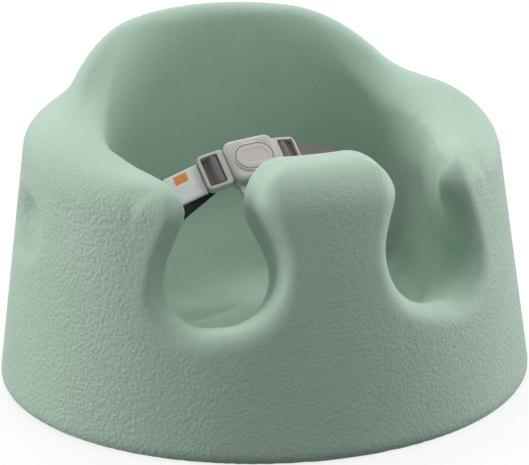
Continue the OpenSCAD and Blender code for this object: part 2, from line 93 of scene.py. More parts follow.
# the node tree of a material or a world, written from its first node to its output
class Recipe:
    def __init__(self, owner):
        owner.use_nodes = True
        self.owner = owner
        self.tree = owner.node_tree
        self.tree.nodes.clear()

    # any node: its settings first, then what its sockets take
    def node(self, kind, settings=None, inputs=None, output=0):
        made = self.tree.nodes.new(kind)
        for key, value in (settings or {}).items():
            setattr(made, key, value)
        for key, value in (inputs or {}).items():
            if isinstance(value, Wire):
                self.tree.links.new(value.socket, made.inputs[key])
            else:
                made.inputs[key].default_value = value
        return Wire(self, made.outputs[output]) if made.outputs else None

    def place(self):
        return self.node("ShaderNodeTexCoord", output="Object")

    # noise about 0, with features of the given size in mm
    def noise(self, size, detail=2.0, stretch=None):
        place = self.place()
        if stretch:
            place = self.node("ShaderNodeMapping", inputs={"Vector": place, "Scale": stretch})
        return self.node(
            "ShaderNodeTexNoise", inputs={"Vector": place, "Scale": 1000 / size, "Detail": detail}
        ) - 0.5

    # soft pebbles of the given size in mm, high in the middle of each
    def pebbles(self, size):
        place = self.place()
        warp = self.node(
            "ShaderNodeTexNoise",
            inputs={"Vector": place, "Scale": 600 / size, "Detail": 1.0},
            output="Color",
        )
        shifted = self.node(
            "ShaderNodeVectorMath",
            {"operation": "MULTIPLY_ADD"},
            {0: warp, 1: (size * mm * 0.9,) * 3, 2: place},
        )
        cells = self.node(
            "ShaderNodeTexVoronoi",
            {"feature": "SMOOTH_F1"},
            {"Vector": shifted, "Scale": 1000 / size, "Smoothness": 0.6},
        )
        return 1 - cells

    def mixed(self, share, first, second):
        return self.node(
            "ShaderNodeMix", {"data_type": "RGBA"}, {0: share, 6: first, 7: second}, output=2
        )

    def bump(self, height, depth):
        return self.node(
            "ShaderNodeBump", inputs={"Strength": 1.0, "Distance": depth * mm, "Height": height}
        )

    def finish(self, **sockets):
        named = {key.replace("_", " "): value for key, value in sockets.items()}
        return self.output("Material", self.node("ShaderNodeBsdfPrincipled", inputs=named))

    def output(self, kind, shader):
        self.node("ShaderNodeOutput" + kind, inputs={"Surface": shader})
        return self.owner


def materialRecipe(name):
    return Recipe(bpy.data.materials.new(name))


# a colour as it is picked on a screen, for a shader
def tint(red, green, blue):
    def linear(level):
        share = level / 255
        return share / 12.92 if share <= 0.04045 else ((share + 0.055) / 1.055) ** 2.4
    return (linear(red), linear(green), linear(blue), 1.0)


# looks: colours as picked on a screen; the sizes of noise and the depth of bump in mm
foamLook = {
    "colour": tint(168, 194, 177), "deep": tint(150, 178, 158), "rough": 0.6,
    "pebble": 2.6, "fine": 1.2, "cloud": 70, "relief": 0.68,
}
plasticLook = {"fine": 0.5, "cloud": 9, "scuff": 3.0, "scuffLong": 6.0, "relief": 0.03}
steelLook = {
    "colour": tint(196, 200, 203), "deep": tint(174, 177, 180), "rough": 0.3,
    "brushed": 0.35, "cloud": 5, "relief": 0.01,
}
webbingLook = {
    "rough": 0.72, "fluff": 0.4, "cloud": 12, "relief": 0.16, "rowPitch": 1.6,
    "selvedge": 1.6, "pale": tint(140, 138, 138), "paleDark": tint(78, 77, 78),
}
labelLook = {
    "colour": tint(246, 244, 243), "deep": tint(226, 224, 226), "patch": tint(236, 148, 78),
    "rough": 0.66, "thread": 0.6, "cloud": 8, "relief": 0.05,
}
threadLook = {
    "colour": tint(216, 213, 212), "deep": tint(188, 185, 184), "rough": 0.6,
    "twist": 0.25, "relief": 0.04,
}


def foamFinish():
    look = foamLook
    recipe = materialRecipe("moulded foam skin")
    grain = recipe.node("ShaderNodeAttribute", {"attribute_name": "grain"}, output="Fac")
    pebble = recipe.pebbles(look["pebble"])
    fine = recipe.noise(look["fine"], 3.0)
    cloud = recipe.noise(look["cloud"], 3.0)
    # random tone from the cloud noise, plus painted shade that darkens the pits between the pebbles where
    # the grain is deep
    shade = cloud * 0.9 + 0.4 + (1 - pebble) * grain * 0.5
    height = pebble * grain + fine * (grain * 0.35 + 0.16)
    return recipe.finish(
        Base_Color=recipe.mixed(shade, look["colour"], look["deep"]),
        Roughness=look["rough"] + cloud * 0.1 + fine * 0.1,
        Normal=recipe.bump(height, look["relief"]),
        Specular_IOR_Level=0.5,
        Sheen_Weight=0.25,
        Sheen_Roughness=0.45,
    )


def plasticFinish(name, colour, worn, rough):
    look = plasticLook
    recipe = materialRecipe(name)
    fine = recipe.noise(look["fine"])
    cloud = recipe.noise(look["cloud"], 3.0)
    scuff = recipe.noise(look["scuff"], 3.0, (1.0, look["scuffLong"], 1.0)).between(0.12, 0.3)
    return recipe.finish(
        Base_Color=recipe.mixed(scuff * 0.35 + cloud * 0.4 + 0.2, colour, worn),
        Roughness=rough + cloud * 0.12 + scuff * 0.08,
        Normal=recipe.bump(fine + cloud * 0.4, look["relief"]),
        Specular_IOR_Level=0.4,
    )


def steelFinish():
    look = steelLook
    recipe = materialRecipe("spring steel")
    brushed = recipe.noise(look["brushed"], 2.0, (1.0, 0.12, 1.0))
    cloud = recipe.noise(look["cloud"])
    return recipe.finish(
        Base_Color=recipe.mixed(cloud + 0.5, look["colour"], look["deep"]),
        Metallic=1.0,
        Roughness=look["rough"] + brushed * 0.2,
        Normal=recipe.bump(brushed, look["relief"]),
    )


# on cloth, u runs across and v along the webbing, both in metres
def uvParts(recipe):
    spot = recipe.node("ShaderNodeUVMap", {"uv_map": "cloth"})
    split = recipe.node("ShaderNodeSeparateXYZ", inputs={"Vector": spot})
    return split, Wire(recipe, split.socket.node.outputs[1])


# woven belt; the last argument, where given, is from where to where along it a painted shade gives way to
# the webbing's own pale colour, in metres
def webbingFinish(name, colour, dark, shadeEnds=None):
    look = webbingLook
    recipe = materialRecipe(name)
    across, along = uvParts(recipe)
    if shadeEnds:
        share = along.between(*shadeEnds)
        colour = recipe.mixed(share, colour, look["pale"])
        dark = recipe.mixed(share, dark, look["paleDark"])
    wave = 2 * math.pi / (webbing["pitch"] * mm)
    rib = (across * wave).sine()
    row = (along * (wave / look["rowPitch"]) + rib * 1.2).sine()
    weave = rib * row * 0.5 + rib * 0.2
    fluff = recipe.noise(look["fluff"], 3.0)
    cloud = recipe.noise(look["cloud"])
    edge = (across.size() - (webbing["width"] / 2 - look["selvedge"]) * mm).between(0.0, 0.4 * mm)
    shade = weave * 0.4 + fluff * 0.5 + cloud * 0.4 + 0.45 - edge * 0.2
    return recipe.finish(
        Base_Color=recipe.mixed(shade, dark, colour),
        Roughness=look["rough"] + fluff * 0.15,
        Normal=recipe.bump(weave + fluff * 0.3, look["relief"]),
        Sheen_Weight=0.25,
        Sheen_Roughness=0.4,
    )


# 1 within the half width of a place, 0 outside it
def nearTo(way, place, half):
    edge = 0.2
    return 1 - (way - place * mm).size().between((half - edge) * mm, (half + edge) * mm)


def labelFinish():
    look = labelLook
    recipe = materialRecipe("label cloth")
    across, along = uvParts(recipe)
    wave = 2 * math.pi / (look["thread"] * mm)
    weave = (across * wave).sine() * (along * wave).sine()
    spot, half = label["patchAt"], label["patchHalf"]
    patch = nearTo(across, spot[1], half[1]) * nearTo(along, spot[0], half[0])
    cloud = recipe.noise(look["cloud"])
    plain = recipe.mixed(weave * 0.3 + cloud + 0.4, look["colour"], look["deep"])
    return recipe.finish(
        Base_Color=recipe.mixed(patch, plain, look["patch"]),
        Roughness=look["rough"] + weave * 0.08,
        Normal=recipe.bump(weave, look["relief"]),
        Sheen_Weight=0.15,
    )


def threadFinish():
    look = threadLook
    recipe = materialRecipe("sewing thread")
    twist = recipe.noise(look["twist"])
    return recipe.finish(
        Base_Color=recipe.mixed(twist + 0.5, look["colour"], look["deep"]),
        Roughness=look["rough"] + twist * 0.2,
        Normal=recipe.bump(twist, look["relief"]),
    )


# meshes and objects

def newObject(name, work, where=None):
    mesh = bpy.data.meshes.new(name)
    bmesh.ops.recalc_face_normals(work, faces=work.faces)
    work.to_mesh(mesh)
    work.free()
    if where:
        mesh.transform(where)
    made = bpy.data.objects.new(name, mesh)
    scene.collection.objects.link(made)
    return made


def modifier(piece, kind, **settings):
    made = piece.modifiers.new(kind.lower(), kind)
    for key, value in settings.items():
        setattr(made, key, value)
    return made


def edged(piece, width, segments, angle):
    modifier(
        piece, "BEVEL", width=width, segments=segments,
        limit_method="ANGLE", angle_limit=math.radians(angle),
    )


# the modifiers' result becomes the piece's own mesh
def applied(piece):
    ready = bpy.data.meshes.new_from_object(
        piece.evaluated_get(bpy.context.evaluated_depsgraph_get())
    )
    old = piece.data
    piece.modifiers.clear()
    piece.data = ready
    ready.name = piece.name
    bpy.data.meshes.remove(old)
    return piece


def smoothShaded(piece, angle):
    piece.data.shade_smooth()
    piece.data.set_sharp_from_angle(angle=math.radians(angle))
    return piece


def dressed(piece, material):
    piece.data.materials.clear()
    piece.data.materials.append(material)
    return piece


def drop(*pieces):
    for piece in pieces:
        mesh = piece.data
        bpy.data.objects.remove(piece)
        bpy.data.meshes.remove(mesh)


# a block from z0 to z1 with corners of radius r, its top rim rounded by "top"
def roundedBlock(w, h, r, z0, z1, top=0.0, steps=8, around=14):
    work = bmesh.new()
    bmesh.ops.create_cube(work, size=1.0)
    bmesh.ops.scale(work, vec=(w, h, z1 - z0), verts=work.verts)
    bmesh.ops.translate(work, vec=(0, 0, (z0 + z1) / 2), verts=work.verts)
    upright = [e for e in work.edges if abs(e.verts[0].co.z - e.verts[1].co.z) > 0.5 * (z1 - z0)]
    bmesh.ops.bevel(
        work, geom=upright, offset=r, offset_type="OFFSET", segments=around,
        profile=0.5, affect="EDGES", material=-1, clamp_overlap=True,
    )
    if top:
        rim = [e for e in work.edges if all(abs(v.co.z - z1) < 1e-4 for v in e.verts)]
        bmesh.ops.bevel(
            work, geom=rim, offset=top, offset_type="OFFSET", segments=steps,
            profile=0.5, affect="EDGES", material=-1, clamp_overlap=True,
        )
    return work


def moved(work, matrix):
    bmesh.ops.transform(work, matrix=matrix, verts=work.verts)
    return work


def shift(x, y, z):
    return Matrix.Translation((x, y, z))


# a solid with others joined to it or cut away in turn, then every edge softened as a mould does
def shaped(name, first, steps, voxel, rounds, where):
    body = newObject(name, first)
    others = [newObject("step", work) for work, _ in steps]
    for other, (_, joins) in zip(others, steps):
        kind = "UNION" if joins else "DIFFERENCE"
        modifier(body, "BOOLEAN", object=other, solver="EXACT", operation=kind)
    modifier(body, "REMESH", mode="VOXEL", voxel_size=voxel, use_smooth_shade=True)
    modifier(body, "SMOOTH", factor=0.5, iterations=rounds)
    applied(body)
    drop(*others)
    body.data.name = name
    body.data.transform(where)
    return body


def moulded(name, solids, cutters, voxel, rounds, where):
    steps = [(work, True) for work in solids[1:]] + [(work, False) for work in cutters]
    return shaped(name, solids[0], steps, voxel, rounds, where)


# the foam seat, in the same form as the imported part

seatShape = {
    "baseWidth": 380, "lean": 0.136, "armHeight": 191, "tipHeight": 180, "armEdge": 20, "baseEdge": 9,
    "backHeight": 250, "backWidth": 273, "backDepth": 154, "backLean": 0.27, "backEdge": 17,
    "shoulder": 12, "bowlWidth": 212, "bowlBack": 9, "floor": 62, "bowlFloor": 40, "rim": 32,
    "legAt": 72.5, "legSplay": 7, "legWidth": 70, "legHeight": 127, "legDrop": 36, "legFall": 0.5,
    "legFlare": 0.3, "flareFrom": -35, "flareSoft": 12, "neck": 40, "neckEdge": 18,
    "neckFront": 0.2, "neckBack": 15, "legEdge": 14, "sillEdge": 22, "pommelHeight": 192, "pommelEdge": 27,
    "scoopLength": 73, "scoopHeight": 50, "scoopDepth": 15, "scoopAt": 128, "scoopBehind": -2,
    "scoopEdge": 6, "scoopReach": 26,
    "voxel": 3.3, "ridge": ((60, -116, 70), (128, 26, 176)), "ridgeInsets": (0, 7, 14), "ridgeRounds": 110,
}
slots = {
    "sideAt": 82, "frontAt": 66, "length": 24.4, "half": 1.35, "top": 92,
    "flare": 4.0, "flareLow": seatShape["floor"] - 6, "flareHigh": seatShape["floor"] + 10,
    "recess": (42.6, 26.6, 10.0), "corner": 5.0,
}


def common(a, b, r):
    return np.minimum(np.maximum(a, b), -r) + np.hypot(np.maximum(a + r, 0), np.maximum(b + r, 0))


def joined(a, b, r):
    return -common(-a, -b, r)


def ease(v, low, high):
    t = np.clip((v - low) / (high - low), 0, 1)
    return t * t * (3 - 2 * t)


def legDistance(x, y, z):
    s = seatShape
    front = s["baseWidth"] / 2 - 40
    splay = math.radians(s["legSplay"])
    along = (x - s["legAt"]) * math.sin(splay) - (y + front) * math.cos(splay)
    off = (x - s["legAt"]) * math.cos(splay) + (y + front) * math.sin(splay)
    # the outer side widens toward the front
    v, soft = np.maximum(along - s["flareFrom"], 0), s["flareSoft"]
    flare = s["legFlare"] * np.where(v < soft, v * v / (2 * soft), v - soft / 2)
    across = np.where(off > 0, np.maximum(off - flare, 0), off)
    half = s["legWidth"] / 2
    up = z - s["legHeight"] - s["legFall"] * np.clip(along, -60, 30)
    oval = np.hypot(across, up * half / s["legDrop"]) - half
    # the neck opens a little toward the front beside the pommel, and into the bowl beside the arm
    wider = np.where(
        off > 0, s["neckBack"] * ease(-along, 32, 96), s["neckFront"] * np.clip(along + 27, 0, 60)
    )
    neck = np.hypot(across, np.minimum(up, 0)) - s["neck"] / 2 - wider
    return np.maximum(joined(oval, neck, s["neckEdge"]), -along - 110)


def bowlDistance(x, y, z):
    s = seatShape
    wall = np.hypot(x, y - s["bowlBack"] - 0.05 * (z - 120)) - s["bowlWidth"] / 2
    return common(wall, s["floor"] - z, s["bowlFloor"])


# distance in mm from the skin, negative inside the foam
def seatDistance(points):
    s = seatShape
    x, y, z = np.abs(points[:, 0]), points[:, 1], points[:, 2]
    turn = np.degrees(np.arctan2(x, y))
    cone = (np.hypot(x, y) - s["baseWidth"] / 2 + s["lean"] * z) * 0.985
    rimHeight = (
        s["armHeight"] + (s["tipHeight"] - s["armHeight"]) * ease(turn, 74, 127)
        + (s["pommelHeight"] - s["tipHeight"]) * ease(turn, 145, 165)
    )
    edge = s["legEdge"] + (s["sillEdge"] - s["legEdge"]) * ease(s["legHeight"] - z, 0, s["legDrop"])
    rimEdge = s["armEdge"] + (s["pommelEdge"] - s["armEdge"]) * ease(turn, 138, 152)
    tub = common(common(cone, -legDistance(x, y, z), edge), (z - rimHeight) * 0.97, rimEdge)
    draw = s["backLean"] * (np.maximum(z, 140) - 200)
    half = s["backWidth"] / 2 - draw
    deep = s["backDepth"] - draw
    oval = (np.hypot(x / half, y / deep) - 1) * half * 0.92
    backHeight = s["backHeight"] - (s["backHeight"] - s["armHeight"] + 17) * ease(turn, 27, 92)
    back = np.maximum(common(oval, (z - backHeight) * 0.85, s["backEdge"]), -y)
    wall = joined(tub, back, s["shoulder"])
    body = common(common(wall, -bowlDistance(x, y, z), s["rim"]), -z - 1, s["baseEdge"])
    reach = s["scoopReach"]
    side = s["baseWidth"] / 2 - s["lean"] * s["scoopAt"]
    scoop = np.sqrt(
        ((x - side - reach + s["scoopDepth"]) / reach) ** 2
        + ((y - s["scoopBehind"]) / (s["scoopLength"] / 2)) ** 2
        + ((z - s["scoopAt"]) / (s["scoopHeight"] / 2)) ** 2
    )
    return common(body, -(scoop - 1) * reach, s["scoopEdge"])


# points pulled along the form's slope until they lie on it
def settled(points, times):
    for _ in range(times):
        steps = [np.eye(3)[axis] * 0.5 for axis in range(3)]
        slope = np.stack(
            [seatDistance(points + step) - seatDistance(points - step) for step in steps], axis=1
        )
        steep = np.maximum((slope ** 2).sum(1), 0.2)
        points = points - slope * (seatDistance(points) / steep)[:, None]
        points[:, 2] = np.maximum(points[:, 2], 0)
    return points


def coordinates(mesh):
    flat = np.empty(len(mesh.vertices) * 3)
    mesh.vertices.foreach_get("co", flat)
    return flat.reshape(-1, 3)


def slotPlaces():
    quarter = Matrix.Rotation(math.pi / 2, 4, "Z")
    return [
        shift(-slots["sideAt"], 0, 0) @ quarter,
        shift(slots["sideAt"], 0, 0) @ quarter,
        shift(0, -slots["frontAt"], 0),
    ]


def joinedMesh(work, part):
    mesh = bpy.data.meshes.new("part")
    part.to_mesh(mesh)
    part.free()
    work.from_mesh(mesh)
    bpy.data.meshes.remove(mesh)


# a piece's mesh opened for work, and put back
def opened(piece):
    work = bmesh.new()
    work.from_mesh(piece.data)
    return work


def closed(work, piece):
    work.to_mesh(piece.data)
    work.free()


def relaxed(work, verts):
    bmesh.ops.smooth_vert(
        work, verts=verts, factor=0.5, use_axis_x=True, use_axis_y=True, use_axis_z=True
    )


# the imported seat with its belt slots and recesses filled, remeshed and pulled onto the form
def wholeSkin():
    work = opened(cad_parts["seat_body"])
    bmesh.ops.remove_doubles(work, verts=work.verts, dist=1e-6)
    bmesh.ops.scale(work, vec=(1 / mm,) * 3, verts=work.verts)
    w, h, _ = slots["recess"]
    for place in slotPlaces():
        joinedMesh(work, moved(roundedBlock(w + 4, h + 4, 5, 0, 50), place))
        joinedMesh(work, moved(roundedBlock(34, 12, 4, 0, 66), place))
    foam = newObject("foam_seat", work)
    modifier(foam, "REMESH", mode="VOXEL", voxel_size=seatShape["voxel"], use_smooth_shade=True)
    applied(foam)
    work = opened(foam)
    for _ in range(4):
        points = settled(np.array([v.co for v in work.verts]), 1)
        for vert, spot in zip(work.verts, points):
            vert.co = spot
        relaxed(work, work.verts)
    closed(work, foam)
    foam.data.vertices.foreach_set("co", settled(coordinates(foam.data), 4).ravel())
    return foam


# the bowl's wall runs into each leg opening with no ridge
def smoothRidges(foam):
    work = opened(foam)
    low, high = seatShape["ridge"]
    for inset in seatShape["ridgeInsets"]:
        ridge = [
            v for v in work.verts
            if all(a + inset < c < b - inset for a, c, b in zip(low, (abs(v.co.x), v.co.y, v.co.z), high))
        ]
        for _ in range(seatShape["ridgeRounds"]):
            relaxed(work, ridge)
    closed(work, foam)


# belt slots, flared where the webbing leaves the floor, and the recesses below
def cutSlots(foam):
    w, h, deep = slots["recess"]
    long, half, below = slots["length"], slots["half"], -2
    cutters = []
    for place in slotPlaces():
        slot = roundedBlock(long, 2 * half, half * 0.98, below, slots["top"])
        flare = bmesh.new()
        for side in (-1, 1):
            for z, r in ((slots["flareLow"], half), (slots["flareHigh"], half + slots["flare"])):
                corner = shift(side * (long / 2 - half), 0, z)
                bmesh.ops.create_circle(flare, cap_ends=False, segments=20, radius=r, matrix=corner)
        bmesh.ops.convex_hull(flare, input=flare.verts)
        recess = roundedBlock(w, h, slots["corner"], below, deep)
        cutters += [newObject("cutter", moved(work, place)) for work in (slot, flare, recess)]
    for cutter in cutters:
        modifier(foam, "BOOLEAN", object=cutter, solver="EXACT", operation="DIFFERENCE")
    applied(foam)
    drop(*cutters)


# the mould's pebbled skin is deepest on the outer walls, fainter in front and in the leg openings,
# almost gone inside the bowl, and worn smooth on top of the arms and the crest
def addGrain(foam):
    points = coordinates(foam.data)
    x, y, z = np.abs(points[:, 0]), points[:, 1], points[:, 2]
    outside = ease(bowlDistance(x, y, z), 14, 62)
    offLeg = ease(legDistance(x, y, z), 6, 34)
    normals = np.empty(len(foam.data.vertices) * 3)
    foam.data.vertices.foreach_get("normal", normals)
    top = ease(normals.reshape(-1, 3)[:, 2], 0.45, 0.95)
    front = ease(-y, 70, 180)
    # grain sets the pebbles' relief and also how much painted shade darkens their pits
    grain = (0.12 + 0.88 * outside * (0.15 + 0.85 * offLeg)) * (1 - 0.6 * top) * (1 - 0.45 * front)
    made = foam.data.attributes.new("grain", "FLOAT", "POINT")
    made.data.foreach_set("value", grain.astype(np.float32))


def buildFoam():
    foam = wholeSkin()
    smoothRidges(foam)
    cutSlots(foam)
    addGrain(foam)
    foam.data.transform(inMetres)
    return smoothShaded(foam, 40)


# where the buckle hangs, and its sizes

buckle = {
    "at": (-14.4, -25, 161.2), "yaw": 1.6, "tilt": 42, "roll": 6.7,
    "width": 37, "height": 33, "thickness": 16, "wall": 2, "corner": 6.5, "dome": 3.6,
    "buttonWidth": 27.0, "buttonHeight": 18.6, "gap": 0.3, "seam": 0.15,
    "ring": 1.7, "ringRise": 0.75, "groove": 2.4, "grooveDeep": 0.55,
    "flange": 1.2, "flangeThick": 1.1, "lugWider": 9, "lugHeight": 12, "lugThick": 3, "lugBar": 2.4,
    "prongThick": 2.4, "prongWidth": 18, "prongTip": 4.6, "window": (8.6, 13.6), "windowWidth": 8,
    "frameLength": 18.5, "frameThick": 7, "bend": 14, "frameHeight": 28,
    "windowIn": 3.5, "barEnd": 2.5, "bar": 1.5,
    "voxel": 0.34,
}
buckleTurn = (
    Matrix.Rotation(math.radians(buckle["yaw"]), 4, "Z")
    @ Matrix.Rotation(math.radians(buckle["tilt"]), 4, "X")
    @ Matrix.Rotation(math.radians(buckle["roll"]), 4, "Z")
)
atBuckle = inMetres @ Matrix.Translation(buckle["at"]) @ buckleTurn

webbing = {"width": 22, "thick": 1.5, "pitch": 1.1, "step": 0.9, "columns": 24, "relief": 0.09}
label = {
    "length": 25.6, "width": 23.2, "thick": 0.45, "patchAt": (1.0, 6.2), "patchHalf": (4.9, 3.5),
    "nearer": 0.9, "loose": 0.25, "wrinkle": 0.07, "cuts": (23, 15), "seam": 1.4,
}

halfWide = buckle["width"] / 2
halfThick = buckle["thickness"] / 2
lugSlot = webbing["thick"] + 2.1              # the crotch belt's slot, below the housing
lugY = -buckle["height"] / 2 - 3.4
lugLow = lugY - lugSlot / 2 - buckle["lugBar"]
roof = halfThick - buckle["wall"]
mouthGap = buckle["gap"] + 0.1
frameIn = halfWide + buckle["gap"]
barRadius = buckle["bar"] + buckle["gap"] + 0.05 + webbing["thick"] / 2
barAt = buckle["windowIn"] + 0.5 + barRadius + webbing["thick"] / 2
lap = webbing["thick"] + buckle["gap"] + 0.05


def housingMouths():
    t = buckle["prongThick"] / 2 + mouthGap
    return roundedBlock(buckle["width"] + 2, buckle["prongWidth"] + 2 * mouthGap, 1, -t, t)


# a block in the button's outline, grown on all sides
def aroundButton(grown, r, z0, z1, top=0.0, steps=8):
    w, h = buckle["buttonWidth"] + 2 * grown, buckle["buttonHeight"] + 2 * grown
    return roundedBlock(w, h, buckle["buttonHeight"] / 2 + r, z0, z1, top, steps)


def buildFrontCover():
    b = buckle
    w, h, above = b["width"], b["height"], halfThick + 2
    shell = newObject("shell", roundedBlock(w, h, b["corner"], b["seam"], halfThick, b["dome"]))
    # the ring stands in a groove of its own
    groove = newObject("groove", aroundButton(b["groove"], 2.2, halfThick - b["grooveDeep"], above))
    modifier(shell, "BOOLEAN", object=groove, solver="EXACT", operation="DIFFERENCE")
    grooved = opened(applied(shell))
    drop(shell, groove)
    ring = aroundButton(b["ring"], 1.5, halfThick - 2, halfThick + b["ringRise"], 0.35, 4)
    cutters = [
        roundedBlock(w - 5, h - 5, b["corner"] - 2.5, -1, roof),
        housingMouths(),
        aroundButton(b["gap"], 0.1, 0, above),
    ]
    # fine line along each end, where the cover steps down to the tongues
    for side in (-1, 1):
        line = roundedBlock(0.7, h - 13, 0.3, halfThick - 2.4, above)
        cutters.append(moved(line, shift(side * (w / 2 - 2.0), 0, 0)))
    return moulded("buckle_front_cover", [grooved, ring], cutters, b["voxel"], 3, atBuckle)


def buildBackCover():
    b = buckle
    w, h = b["width"], b["height"]
    turnOver = Matrix.Rotation(math.pi, 4, "X")
    shell = moved(roundedBlock(w, h, b["corner"], b["seam"], halfThick, b["dome"]), turnOver)
    lugWide, tall, top = webbing["width"] + b["lugWider"], b["lugHeight"], -b["seam"]
    lug = moved(roundedBlock(lugWide, tall, 2.2, top - b["lugThick"], top), shift(0, lugLow + tall / 2, 0))
    cutters = [
        moved(roundedBlock(w - 5, h - 5, b["corner"] - 2.5, -1, roof), turnOver),
        housingMouths(),
        moved(roundedBlock(webbing["width"] + 1.5, lugSlot, 1, -halfThick, 1), shift(0, lugY, 0)),
    ]
    cover = moulded("buckle_back_cover", [shell, lug], cutters, b["voxel"], 3, atBuckle)
    # the peg that holds the coil
    peg = newObject("peg", roundedBlock(4.2, 4.2, 2.05, -roof - 0.2, -roof + 2.8, 0.4, 3), atBuckle)
    work = opened(cover)
    work.from_mesh(peg.data)
    closed(work, cover)
    drop(peg)
    return cover


def buildButton():
    b = buckle
    flangeLow = roof - b["gap"] - b["flangeThick"]
    cap = aroundButton(0, -0.2, flangeLow, halfThick + 1, 1.1)
    flange = aroundButton(b["flange"], 1, flangeLow, flangeLow + b["flangeThick"], 0.3, 2)
    solids = [cap, flange]
    leafTop = -b["prongThick"] / 2 - b["gap"]
    for side in (-1, 1):
        post = roundedBlock(4, 3, 0.8, leafTop + b["gap"], flangeLow + 0.2)
        solids.append(moved(post, shift(0, side * 6, 0)))
    # a shallow dish under the thumb, left plain
    wide, tall = b["buttonWidth"] - 6.5, b["buttonHeight"] - 7.5
    dish = moved(roundedBlock(wide, tall, tall / 2 - 0.1, 0, 2), shift(0, 0, halfThick + 0.72))
    return moulded("press_button", solids, [dish], b["voxel"], 3, atBuckle)


def buildTongue(name, side):
    b = buckle
    long, tall, thick = b["frameLength"], b["frameHeight"], b["frameThick"]
    opening = long - b["barEnd"] - b["windowIn"]
    bend = shift(frameIn, 0, 0) @ Matrix.Rotation(math.radians(b["bend"]), 4, "Y")
    # the frame is rounded on both faces; a bevelled half and its mirror image make it
    halves = []
    for way in (0, math.pi):
        half = roundedBlock(long + 2, tall, 4, -0.5, thick / 2, 1.3, 6)
        halves.append(moved(half, bend @ shift(long / 2 - 1, 0, 0) @ Matrix.Rotation(way, 4, "X")))
    reach = frameIn + 1 - b["prongTip"]
    prong = moved(
        roundedBlock(reach, b["prongWidth"], 2, -b["prongThick"] / 2, b["prongThick"] / 2),
        shift(b["prongTip"] + reach / 2, 0, 0),
    )
    bar = bmesh.new()
    bmesh.ops.create_cone(
        bar, cap_ends=True, segments=32, radius1=b["bar"], radius2=b["bar"], depth=tall - 3,
        matrix=bend @ shift(barAt, 0, 0) @ Matrix.Rotation(math.pi / 2, 4, "X"),
    )
    window = moved(
        roundedBlock(opening, webbing["width"] + 1, 1.2, -thick, thick),
        bend @ shift(b["windowIn"] + opening / 2, 0, 0),
    )
    under = moved(
        roundedBlock(2 * b["barEnd"] + 2, webbing["width"] + 1, 1, -thick, b["gap"] + 0.1),
        bend @ shift(long, 0, 0),
    )
    inner = moved(roundedBlock(40, 2 * tall, 1, -2 * thick, 2 * thick), shift(frameIn - 20, 0, 0))
    hole = moved(
        roundedBlock(b["window"][1] - b["window"][0], b["windowWidth"], 0.8, -thick, thick),
        shift(sum(b["window"]) / 2, 0, 0),
    )
    # the second half, the frame's cuts, then the prong, its window and the bar
    steps = [(halves[1], True), (window, False), (under, False), (inner, False)]
    steps += [(prong, True), (hole, False), (bar, True)]
    mirror = Matrix.Scale(side, 4, (1, 0, 0))
    tongue = shaped(name, halves[0], steps, b["voxel"], 3, atBuckle @ mirror)
    if side < 0:
        tongue.data.flip_normals()
    return tongue


coil = {"radius": 2.8, "wire": 0.4, "turns": 5, "turnSteps": 28, "low": -5.5, "high": 4.1}
leaf = {"foot": -5.4, "plane": -2.0}


# the coil under the button
def buildCoil():
    work = bmesh.new()
    quarter = Matrix.Rotation(math.pi / 2, 4, "X")
    bmesh.ops.create_circle(
        work, cap_ends=False, segments=12, radius=coil["wire"],
        matrix=shift(coil["radius"], 0, coil["low"]) @ quarter,
    )
    steps = coil["turnSteps"] * coil["turns"]
    bmesh.ops.spin(
        work, geom=work.edges[:], cent=(0, 0, 0), axis=(0, 0, 1), angle=2 * math.pi * coil["turns"],
        dvec=(0, 0, (coil["high"] - coil["low"]) / steps), steps=steps, use_duplicate=False,
    )
    bmesh.ops.holes_fill(work, edges=[e for e in work.edges if e.is_boundary], sides=0)
    return smoothShaded(newObject("coil_spring", work, atBuckle), 50)


# the steel latch leaf, from the imported part
def buildLeaf():
    work = opened(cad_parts["latch_spring"])
    bmesh.ops.remove_doubles(work, verts=work.verts, dist=1e-6)
    piece = newObject("latch_leaf", work)
    edged(piece, 0.06 * mm, 2, 40)
    return smoothShaded(applied(piece), 40)


# webbing, laid along the routes that the belts take

turn3 = np.array(buckleTurn.to_3x3())


def aimed(p):
    return turn3 @ np.array(p, float)


def placed(p):
    return np.array(buckle["at"], float) + aimed(p)


def bent(p):
    a = math.radians(buckle["bend"])
    return (
        frameIn + p[0] * math.cos(a) + p[1] * math.sin(a),
        p[1] * math.cos(a) - p[0] * math.sin(a),
    )


def curve(p, q, t):
    return (1 - t) ** 3 * p[0] + 3 * (1 - t) ** 2 * t * p[1] + 3 * (1 - t) * t ** 2 * q[1] + t ** 3 * q[0]


belts = {
    "slotTop": 68.0, "hem": 3.5, "steps": 14,
    "left": {"side": -1, "drop": 34, "lean": (-6, 24), "climb": 50, "tail": 27, "droop": 14, "sink": 2},
    "right": {"side": 1, "drop": 6, "lean": (5, 66), "climb": 76, "tail": 14, "droop": 6, "sink": 0.3},
}
tailZ = -barRadius + lap
tailIn = 4


# up from the hem under an anchor plate to the top of the slot
def rise(x, y, side):
    foot = np.array([x, y, belts["hem"]], float)
    side = np.array(side, float)
    up = np.array([0, 0, 1.0])
    hem = [foot - side * back for back in (9, 6, 3)]
    return hem + [
        foot + up * 0.9 - side * 0.9, foot + up * 3,
        np.array([x, y, slots["recess"][2] + 10.0]), np.array([x, y, belts["slotTop"]]),
    ]


